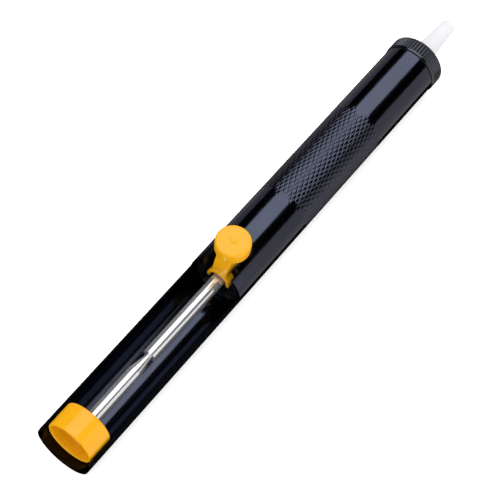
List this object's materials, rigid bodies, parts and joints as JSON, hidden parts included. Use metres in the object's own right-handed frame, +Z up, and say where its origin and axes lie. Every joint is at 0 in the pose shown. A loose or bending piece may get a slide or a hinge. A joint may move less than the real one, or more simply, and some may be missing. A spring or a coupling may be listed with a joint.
{
  "type": "desoldering pump",
  "caption": "Spring-loaded desoldering pump: round metal barrel with an open-backed tail, cocking plunger, thumb release button, screw-on nose cap and plastic suction nozzle.",
  "frame": {"origin": "middle of the pump's length, on the surface it lies on, straight under the barrel's axis", "axes": "+X along the barrel from the knob to the nozzle, +Z up through the release button, +Y to the left of someone looking along +X"},
  "size_m": [0.215, 0.0208, 0.0285],
  "materials": {
    "black_anodised": "glossy black anodised",
    "black_plastic": "moulded, satin black",
    "yellow_plastic": "moulded, satin yellow-orange",
    "white_ptfe": "waxy translucent white",
    "white_acetal": "machined white",
    "chrome": "mirror polished",
    "steel": "plain zinc-plated",
    "blued_steel": "dark blued",
    "spring_steel": "drawn wire",
    "brass": "turned",
    "black_rubber": "moulded matte black"
  },
  "bodies": {
    "barrel": {"barrel_tube": "black_anodised", "guide_bush": "black_plastic", "bush_screw_left": "steel", "bush_screw_right": "steel", "bumper_ring": "black_rubber", "main_spring": "spring_steel", "button_spring": "spring_steel"},
    "plunger": {"plunger_shaft": "chrome", "plunger_knob": "yellow_plastic", "knob_screw": "steel", "piston": "white_acetal", "piston_o_ring": "black_rubber", "piston_washer": "steel", "piston_nut": "brass", "cleaning_pin": "steel"},
    "button": {"latch_button": "yellow_plastic", "latch_plate": "blued_steel"},
    "nozzle_set": {"nozzle": "white_ptfe", "nozzle_seal": "black_rubber", "nozzle_retaining_ring": "brass"},
    "cap": {"nose_cap": "black_plastic", "cap_gasket": "black_rubber"}
  },
  "joints": [
    {"name": "plunger_slide", "type": "slide", "parent": "barrel", "child": "plunger", "axis": [1, 0, 0], "range_m": [0, 0.046], "stiffness_N_per_m": 460, "springref_m": -0.015, "deforming": ["main_spring"]},
    {"name": "button_press", "type": "slide", "parent": "barrel", "child": "button", "axis": [0, 0, 1], "range_m": [-0.0014, 0], "stiffness_N_per_m": 350, "springref_m": 0.003, "deforming": ["button_spring"]},
    {"name": "nozzle_withdraw", "type": "slide", "parent": "barrel", "child": "nozzle_set", "axis": [1, 0, 0], "range_m": [0, 0.009]},
    {"name": "cap_unscrew", "type": "hinge", "parent": "nozzle_set", "child": "cap", "pos_m": [0.0838, 0, 0.01037], "axis": [1, 0, 0], "range_deg": [0, 3245]}
  ],
  "couplings": [
    {"joint": "cap_unscrew", "follows": "nozzle_withdraw", "rad_per_m": 6283.2}
  ]
}
